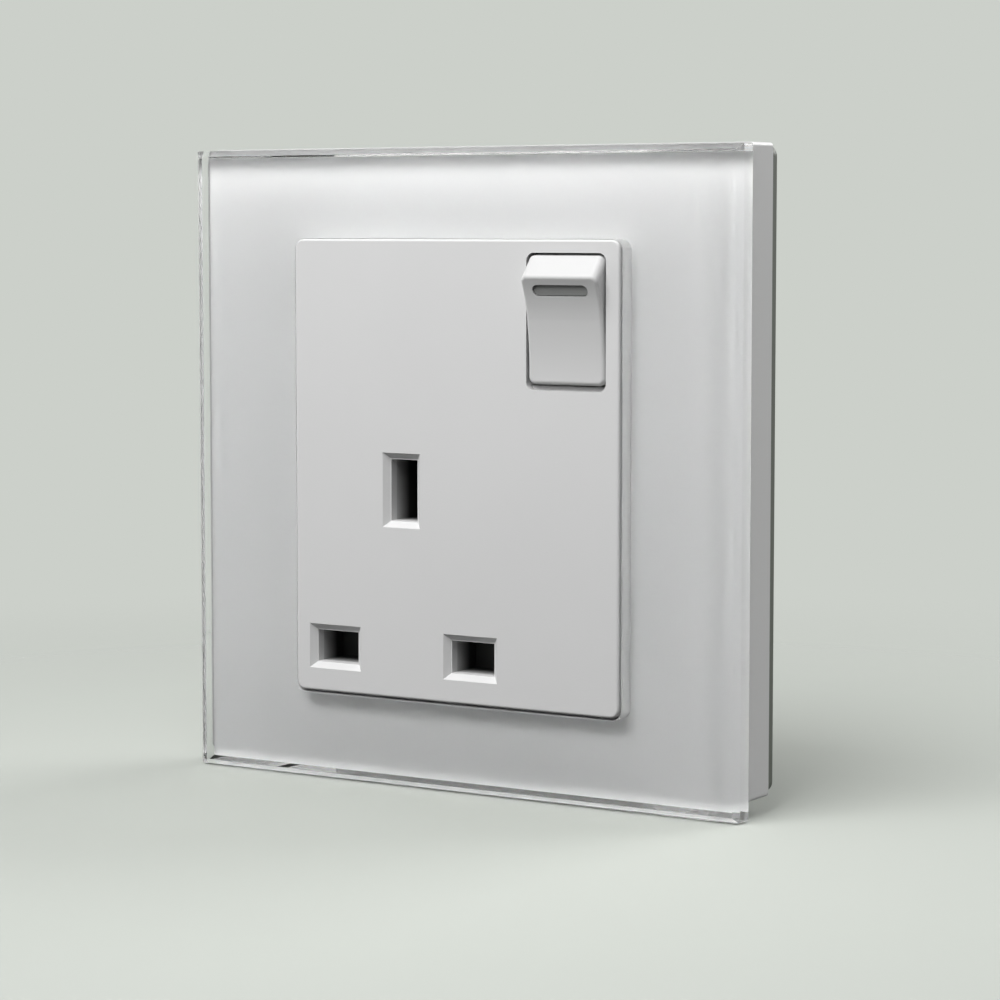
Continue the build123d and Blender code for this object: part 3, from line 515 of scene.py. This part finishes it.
def thread_group(zinc):
    """Node group that winds a thread round a pointed shank and sets it behind each screw head."""
    tree = bpy.data.node_groups.new("fixing_thread", "GeometryNodeTree")
    tree.is_modifier = True
    face = tree.interface
    face.new_socket("Heads", in_out="INPUT", socket_type="NodeSocketGeometry")
    for name in ("Length", "Pitch", "Depth", "Radius", "Point", "End", "Spacing"):
        face.new_socket(name, in_out="INPUT", socket_type="NodeSocketFloat")
    face.new_socket("Steps", in_out="INPUT", socket_type="NodeSocketInt")
    face.new_socket("Screws", in_out="OUTPUT", socket_type="NodeSocketGeometry")
    given = add(tree, "NodeGroupInput").outputs

    straight = calculate(tree, "SUBTRACT", given["Length"], given["Point"])
    core = calculate(tree, "SUBTRACT", given["Radius"], given["Depth"])
    turns = calculate(tree, "DIVIDE", straight, given["Pitch"])
    winding = {"Resolution": given["Steps"], "Rotations": turns, "Height": straight}
    winding.update({"Start Radius": core, "End Radius": core})
    helix = add(tree, "GeometryNodeCurveSpiral", winding).outputs["Curve"]
    upright = add(tree, "GeometryNodeSetCurveNormal", {"Curve": helix}, mode="Z_UP").outputs["Curve"]
    diamond = {"Resolution": 4, "Radius": given["Depth"]}
    ridge = add(tree, "GeometryNodeCurvePrimitiveCircle", diamond).outputs["Curve"]
    swept = {"Curve": upright, "Profile Curve": ridge, "Fill Caps": True}
    thread = add(tree, "GeometryNodeCurveToMesh", swept).outputs["Mesh"]

    cylinder = {"Vertices": 32, "Radius Top": core, "Radius Bottom": core, "Depth": straight}
    shank = add(tree, "GeometryNodeMeshCone", cylinder).outputs["Mesh"]
    cone = {"Vertices": 32, "Radius Top": given["End"], "Radius Bottom": core, "Depth": given["Point"]}
    tip = add(tree, "GeometryNodeMeshCone", cone).outputs["Mesh"]
    tip_place = add(tree, "ShaderNodeCombineXYZ", {"Z": straight}).outputs[0]
    moved = {"Geometry": tip, "Translation": tip_place}
    placed_tip = add(tree, "GeometryNodeTransform", moved).outputs["Geometry"]

    joined = add(tree, "GeometryNodeJoinGeometry")
    for part in (thread, shank, placed_tip):
        tree.links.new(part, joined.inputs["Geometry"])
    laid = {"Geometry": joined.outputs["Geometry"], "Rotation": (math.radians(-90), 0, 0)}
    turned = add(tree, "GeometryNodeTransform", laid).outputs["Geometry"]
    half = calculate(tree, "MULTIPLY", given["Spacing"], 0.5)
    right = add(tree, "ShaderNodeCombineXYZ", {"X": half}).outputs[0]
    left = calculate_vector(tree, "SCALE", first=right, scale=-1.0)
    ends = {"Count": 2, "Start Location": right, "Offset": left}
    line = add(tree, "GeometryNodeMeshLine", ends, mode="END_POINTS").outputs["Mesh"]
    placed = {"Points": line, "Instance": turned}
    pair = add(tree, "GeometryNodeInstanceOnPoints", placed).outputs["Instances"]

    whole = add(tree, "GeometryNodeJoinGeometry")
    for part in (pair, given["Heads"]):
        tree.links.new(part, whole.inputs["Geometry"])
    all_screws = {"Geometry": whole.outputs["Geometry"]}
    real = add(tree, "GeometryNodeRealizeInstances", all_screws).outputs["Geometry"]
    dressed = add(tree, "GeometryNodeSetMaterial", {"Geometry": real, "Material": zinc}).outputs["Geometry"]
    add(tree, "NodeGroupOutput", {"Screws": dressed})
    return tree


class SOCKET_OT_fixing_screws(bpy.types.Operator):
    """Fixing screws with a wound thread and a tapered point"""

    bl_idname = "socket.fixing_screws"
    bl_label = "Fixing screws"

    def execute(self, context):
        sizes, zinc = context.scene.socket_sizes, finish_of("fixing_screws")
        heads = merged_copy("screw_heads", "fixing_screws")
        right = [v.co.x for v in heads.vertices if v.co.y > SLACK and v.co.x > 0]
        values = {
            "Length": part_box("fixing_screws")[1].y,
            "Pitch": sizes.thread_pitch,
            "Depth": sizes.thread_depth,
            "Radius": (max(right) - min(right)) / 2,
            "Point": sizes.screw_point,
            "End": sizes.screw_end,
            "Spacing": max(right) + min(right),
            "Steps": sizes.thread_steps,
        }
        shape = bmesh.new()
        shape.from_mesh(heads)
        everything = shape.verts[:] + shape.edges[:] + shape.faces[:]
        cut = bmesh.ops.bisect_plane(
            shape, geom=everything, plane_co=(0, 0, 0), plane_no=(0, 1, 0), clear_outer=True
        )["geom_cut"]
        bmesh.ops.holes_fill(shape, edges=[edge for edge in cut if isinstance(edge, bmesh.types.BMEdge)])
        shape.to_mesh(heads)
        shape.free()
        source = bpy.data.objects.new("screw_heads", heads)
        context.scene.collection.objects.link(source)
        winding = source.modifiers.new("thread", "NODES")
        group = thread_group(zinc)
        for item in group.interface.items_tree:
            if item.name in values:
                winding[item.identifier] = values[item.name]
        winding.node_group = group
        mesh = bpy.data.meshes.new_from_object(source.evaluated_get(context.evaluated_depsgraph_get()))
        mesh.name = "threaded_screws"
        mesh.set_sharp_from_angle(angle=SHARP_FROM)
        bpy.data.objects.remove(source)
        screws = new_piece("threaded_screws", mesh, zinc, BODY)
        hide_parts("fixing_screws")
        return {"FINISHED"}


def stroke(shape, start, end, width, front, rear):
    """Adds one bar of a terminal mark between two points on the rear face."""
    along = (Vector(end) - Vector(start)).normalized() * width / 2
    across = Vector((-along.y, along.x))
    corners = [Vector(start) - along - across, Vector(end) + along - across]
    corners += [Vector(end) + along + across, Vector(start) - along + across]
    near = [shape.verts.new((x, front, z)) for x, z in corners]
    far = [shape.verts.new((x, rear, z)) for x, z in corners]
    shape.faces.new(near)
    shape.faces.new(far[::-1])
    for i in range(4):
        j = (i + 1) % 4
        shape.faces.new((near[j], near[i], far[i], far[j]))


class SOCKET_OT_terminal_marks(bpy.types.Operator):
    """Rear housing with the marks of the live, neutral and earth terminals sunk in it"""

    bl_idname = "socket.terminal_marks"
    bl_label = "Terminal marks"

    # Ends of each mark's bars in shares of its height; seen from the rear, +x is to the left
    MARKS = {
        "live": (((0.3, 1), (0.3, 0)), ((0.3, 0), (-0.3, 0))),
        "neutral": (((0.3, 0), (0.3, 1)), ((0.3, 1), (-0.3, 0)), ((-0.3, 0), (-0.3, 1))),
        "earth": (
            ((0, 1), (0, 0.5)),
            ((0.45, 0.5), (-0.45, 0.5)),
            ((0.3, 0.25), (-0.3, 0.25)),
            ((0.12, 0), (-0.12, 0)),
        ),
    }

    def cutter_mesh(self, sizes):
        """Bars of all the marks, which reach a little out of the rear face."""
        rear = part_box("base_moulding")[1].y
        places = {mount["name"]: mount["pos_m"] for mount in frame["record"]["mounts"]}
        shape = bmesh.new()
        for pole, bars in self.MARKS.items():
            middle = places[pole + "_conductor"][0]
            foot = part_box(pole + "_terminal")[0].z - sizes.mark_drop - sizes.mark_height
            for ends in bars:
                start, end = [(middle + x * sizes.mark_height, foot + z * sizes.mark_height) for x, z in ends]
                stroke(shape, start, end, sizes.mark_stroke, rear - sizes.mark_depth, rear + sizes.mark_depth)
        bmesh.ops.recalc_face_normals(shape, faces=shape.faces)
        mesh = bpy.data.meshes.new("mark_cutter")
        shape.to_mesh(mesh)
        shape.free()
        return mesh

    def execute(self, context):
        thermoset = finish_of("base_moulding")
        cutter = bpy.data.objects.new("mark_cutter", self.cutter_mesh(context.scene.socket_sizes))
        source = bpy.data.objects.new("marked_base", merged_copy("marked_base", "base_moulding"))
        for helper in (cutter, source):
            context.scene.collection.objects.link(helper)
        sink = source.modifiers.new("marks", "BOOLEAN")
        sink.object = cutter
        sink.operation = "DIFFERENCE"
        sink.solver = "EXACT"
        sink.use_self = True
        mesh = bpy.data.meshes.new_from_object(source.evaluated_get(context.evaluated_depsgraph_get()))
        mesh.name = "marked_base"
        for helper in (cutter, source):
            bpy.data.objects.remove(helper)
        mesh.materials.clear()
        mesh.materials.append(thermoset)
        mesh.polygons.foreach_set("material_index", [0] * len(mesh.polygons))
        # Faces square to the axes are flat, and the rest are rounded
        curved = [max(abs(part) for part in polygon.normal) < 0.9999 for polygon in mesh.polygons]
        mesh.polygons.foreach_set("use_smooth", curved)
        mesh.set_sharp_from_angle(angle=SHARP_FROM)
        base = new_piece("marked_base", mesh, thermoset, BODY)
        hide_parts("base_moulding")
        return {"FINISHED"}


class SOCKET_OT_stage(bpy.types.Operator):
    """Pale floor, soft lamps, surroundings and camera"""

    bl_idname = "socket.stage"
    bl_label = "Stage"

    FLOOR_DROP = 0.2 * MM
    FLOOR_RADIUS = 3.0
    FLOOR_FADE = (0.05, 0.24)
    # Light of the surroundings from below and from above, and the heights between which it changes
    AMBIENT = (0.02, 0.17)
    AMBIENT_HEIGHTS = (-0.3, 0.5)
    # Square lamps that look at the middle of the socket: name, place, size and watts
    LAMPS = (
        ("key_lamp", (-0.01, -0.265, 0.33), 0.34, 2.25),
        ("top_lamp", (-0.15, -0.02, 0.45), 0.35, 0.25),
        ("left_lamp", (-0.5, -0.2, 0.05), 0.3, 0.6),
        ("side_lamp", (0.55, 0.07, 0.1), 0.3, 0.3),
        ("back_lamp", (0.3, 0.55, 0.4), 0.5, 4.0),
    )
    CAMERA_PLACE = (230.32 * MM, -362.4 * MM, 32.95 * MM)
    CAMERA_YAW = math.radians(32.42)
    CAMERA_PITCH = math.radians(4.99)
    CAMERA_LENS = 112.67
    CAMERA_SENSOR = 36.0

    def paper(self, colour):
        """Matt paper that fades out round the socket."""
        material, tree, shader = blank_material("pale_paper", Roughness=0.9)
        shader.inputs["Base Color"].default_value = tuple(colour)
        place = object_place(tree)
        far = add(tree, "ShaderNodeVectorMath", {0: place}, operation="LENGTH").outputs["Value"]
        fading = {"Value": far, "From Min": self.FLOOR_FADE[0], "From Max": self.FLOOR_FADE[1]}
        fade = add(tree, "ShaderNodeMapRange", fading, interpolation_type="SMOOTHSTEP").outputs["Result"]
        # The paper is seen, mirrored and looked at through the glass, but it does not light the socket
        scattered = add(tree, "ShaderNodeLightPath").outputs["Diffuse Depth"]
        unseen = calculate(tree, "MAXIMUM", fade, scattered, use_clamp=True)
        clear = add(tree, "ShaderNodeBsdfTransparent").outputs[0]
        mixed = add(tree, "ShaderNodeMixShader", {0: unseen, 1: shader.outputs[0], 2: clear}).outputs[0]
        tree.links.new(mixed, tree.nodes["Material Output"].inputs["Surface"])
        return material

    def set_floor(self, scene, colour):
        """Disc of paper just under the socket."""
        mesh = bpy.data.meshes.new("floor")
        shape = bmesh.new()
        bmesh.ops.create_circle(shape, cap_ends=True, segments=96, radius=self.FLOOR_RADIUS)
        bmesh.ops.translate(shape, vec=(0, 0, cad_box[0].z - self.FLOOR_DROP), verts=shape.verts)
        shape.to_mesh(mesh)
        shape.free()
        floor = bpy.data.objects.new("floor", mesh)
        scene.collection.objects.link(floor)
        floor.visible_diffuse = False
        mesh.materials.append(self.paper(colour))

    def set_surroundings(self, scene, colour):
        """Pale surroundings to look at and to mirror, and a softer light from above."""
        world = bpy.data.worlds.new("surroundings")
        scene.world = world
        world.use_nodes = True
        tree = world.node_tree
        path = add(tree, "ShaderNodeLightPath").outputs
        sharp = calculate(tree, "ADD", path["Is Glossy Ray"], path["Is Transmission Ray"])
        first = calculate(tree, "LESS_THAN", path["Diffuse Depth"], 0.5)
        mirrored = calculate(tree, "MULTIPLY", sharp, first)
        seen = calculate(tree, "ADD", mirrored, path["Is Camera Ray"], use_clamp=True)
        direction = add(tree, "ShaderNodeTexCoord").outputs["Generated"]
        height = add(tree, "ShaderNodeSeparateXYZ", {0: direction}).outputs["Z"]
        soft = {"Value": height, "From Min": self.AMBIENT_HEIGHTS[0], "From Max": self.AMBIENT_HEIGHTS[1]}
        soft.update({"To Min": self.AMBIENT[0], "To Max": self.AMBIENT[1]})
        level = add(tree, "ShaderNodeMapRange", soft, interpolation_type="SMOOTHSTEP").outputs["Result"]
        ambient = add(tree, "ShaderNodeBackground", {"Color": (1, 1, 1, 1), "Strength": level}).outputs[0]
        pale = add(tree, "ShaderNodeBackground", {"Color": tuple(colour), "Strength": 1.0}).outputs[0]
        both = add(tree, "ShaderNodeMixShader", {0: seen, 1: ambient, 2: pale}).outputs[0]
        tree.links.new(both, tree.nodes["World Output"].inputs["Surface"])

    def set_lamps(self, scene):
        """Soft square lamps that look at the middle of the socket."""
        for name, place, size, watts in self.LAMPS:
            data = bpy.data.lights.new(name, "AREA")
            data.shape = "SQUARE"
            data.size = size
            data.energy = watts
            light = bpy.data.objects.new(name, data)
            light.location = place
            light.rotation_euler = (-Vector(place)).to_track_quat("-Z", "Y").to_euler()
            scene.collection.objects.link(light)

    def set_camera(self, scene):
        """Camera a little above the socket and to its right."""
        data = bpy.data.cameras.new("camera")
        data.sensor_width = self.CAMERA_SENSOR
        data.lens = self.CAMERA_LENS
        data.clip_start = 0.01
        camera = bpy.data.objects.new("camera", data)
        scene.collection.objects.link(camera)
        level = math.cos(self.CAMERA_PITCH)
        yaw = self.CAMERA_YAW
        look = Vector((-math.sin(yaw) * level, math.cos(yaw) * level, -math.sin(self.CAMERA_PITCH)))
        camera.location = self.CAMERA_PLACE
        camera.rotation_euler = look.to_track_quat("-Z", "Y").to_euler()
        scene.camera = camera

    def execute(self, context):
        scene, colours = context.scene, context.scene.socket_colours
        self.set_floor(scene, colours.floor)
        self.set_surroundings(scene, colours.backdrop)
        self.set_lamps(scene)
        self.set_camera(scene)
        # Light that comes through the glass is traced sharp, so the bevels keep their bright and dark bands
        scene.cycles.blur_glossy = 0.0
        scene.view_settings.view_transform = "Standard"
        return {"FINISHED"}


PIECES = (
    SOCKET_OT_glass_front,
    SOCKET_OT_mouldings,
    SOCKET_OT_insert,
    SOCKET_OT_rocker,
    SOCKET_OT_metals,
    SOCKET_OT_springs,
    SOCKET_OT_fixing_screws,
    SOCKET_OT_terminal_marks,
    SOCKET_OT_stage,
)


class SOCKET_PT_panel(bpy.types.Panel):
    """Lists the socket's pieces and their sizes and colours"""

    bl_idname = "SOCKET_PT_panel"
    bl_label = "Switched wall socket"
    bl_space_type = "VIEW_3D"
    bl_region_type = "UI"
    bl_category = "Socket"

    def draw(self, context):
        for piece in PIECES:
            self.layout.operator(piece.bl_idname)
        for group in (context.scene.socket_sizes, context.scene.socket_colours):
            box = self.layout.box()
            for name in group.bl_rna.properties.keys():
                if name not in ("rna_type", "name"):
                    box.prop(group, name)


CLASSES = (SocketColours, SocketSizes, *PIECES, SOCKET_PT_panel)


def register():
    """Registers the classes and the scene's sizes and colours."""
    for cls in CLASSES:
        bpy.utils.register_class(cls)
    bpy.types.Scene.socket_colours = PointerProperty(type=SocketColours)
    bpy.types.Scene.socket_sizes = PointerProperty(type=SocketSizes)


def unregister():
    """Takes out what register added."""
    del bpy.types.Scene.socket_sizes
    del bpy.types.Scene.socket_colours
    for cls in reversed(CLASSES):
        bpy.utils.unregister_class(cls)


def main():
    """Builds every piece in order."""
    register()
    for piece in PIECES:
        group, name = piece.bl_idname.split(".")
        getattr(getattr(bpy.ops, group), name)()


if __name__ == "__main__":
    main()
